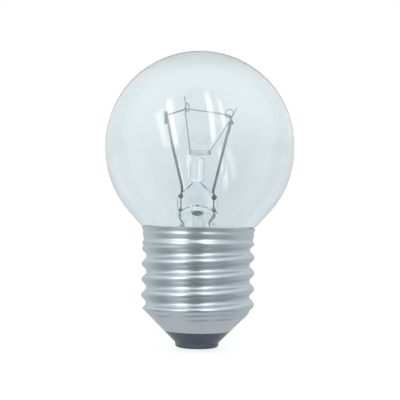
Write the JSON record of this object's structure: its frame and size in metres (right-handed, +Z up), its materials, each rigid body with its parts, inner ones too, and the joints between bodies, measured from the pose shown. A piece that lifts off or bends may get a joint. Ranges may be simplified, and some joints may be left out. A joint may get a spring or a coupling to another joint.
{
  "type": "globe bulb",
  "caption": "Clear globe bulb on a rolled screw cap, with a glass stem, bent leads, a coiled filament on pigtail supports and a centre contact, for a common screw lampholder.",
  "frame": {"origin": "lowest point of the centre contact, on the lamp's axis", "axes": "+Z up the lamp's axis from the centre contact to the top of the globe, +X to the right and -Y towards the camera in the picture"},
  "size_m": [0.0443, 0.0442, 0.0696],
  "materials": {
    "clear_glass": "clear blown glass, gloss",
    "stem_glass": "clear pressed glass, gloss",
    "lead_wire": "bare nickel-coloured wire",
    "copper_wire": "bare copper-coloured wire",
    "support_wire": "bare thin wire",
    "filament_wire": "dark bare coil",
    "cap_metal": "bright rolled sheet",
    "black_glass": "black pressed glass, gloss",
    "contact_brass": "bright stamped sheet",
    "solder": "smooth bright solder",
    "cement": "matt baked cement"
  },
  "bodies": {
    "root": {"glass_bulb": "clear_glass", "stem_flare": "stem_glass", "exhaust_tube": "stem_glass", "arbor_rod": "stem_glass", "inner_lead_left": "lead_wire", "inner_lead_right": "lead_wire", "seal_wire_left": "copper_wire", "seal_wire_right": "copper_wire", "contact_lead": "copper_wire", "rim_lead": "copper_wire", "support_left": "support_wire", "support_right": "support_wire", "filament": "filament_wire", "screw_shell": "cap_metal", "insulator": "black_glass", "contact_plate": "contact_brass", "contact_solder": "solder", "cement_ring": "cement", "rim_solder": "solder"}
  },
  "joints": []
}
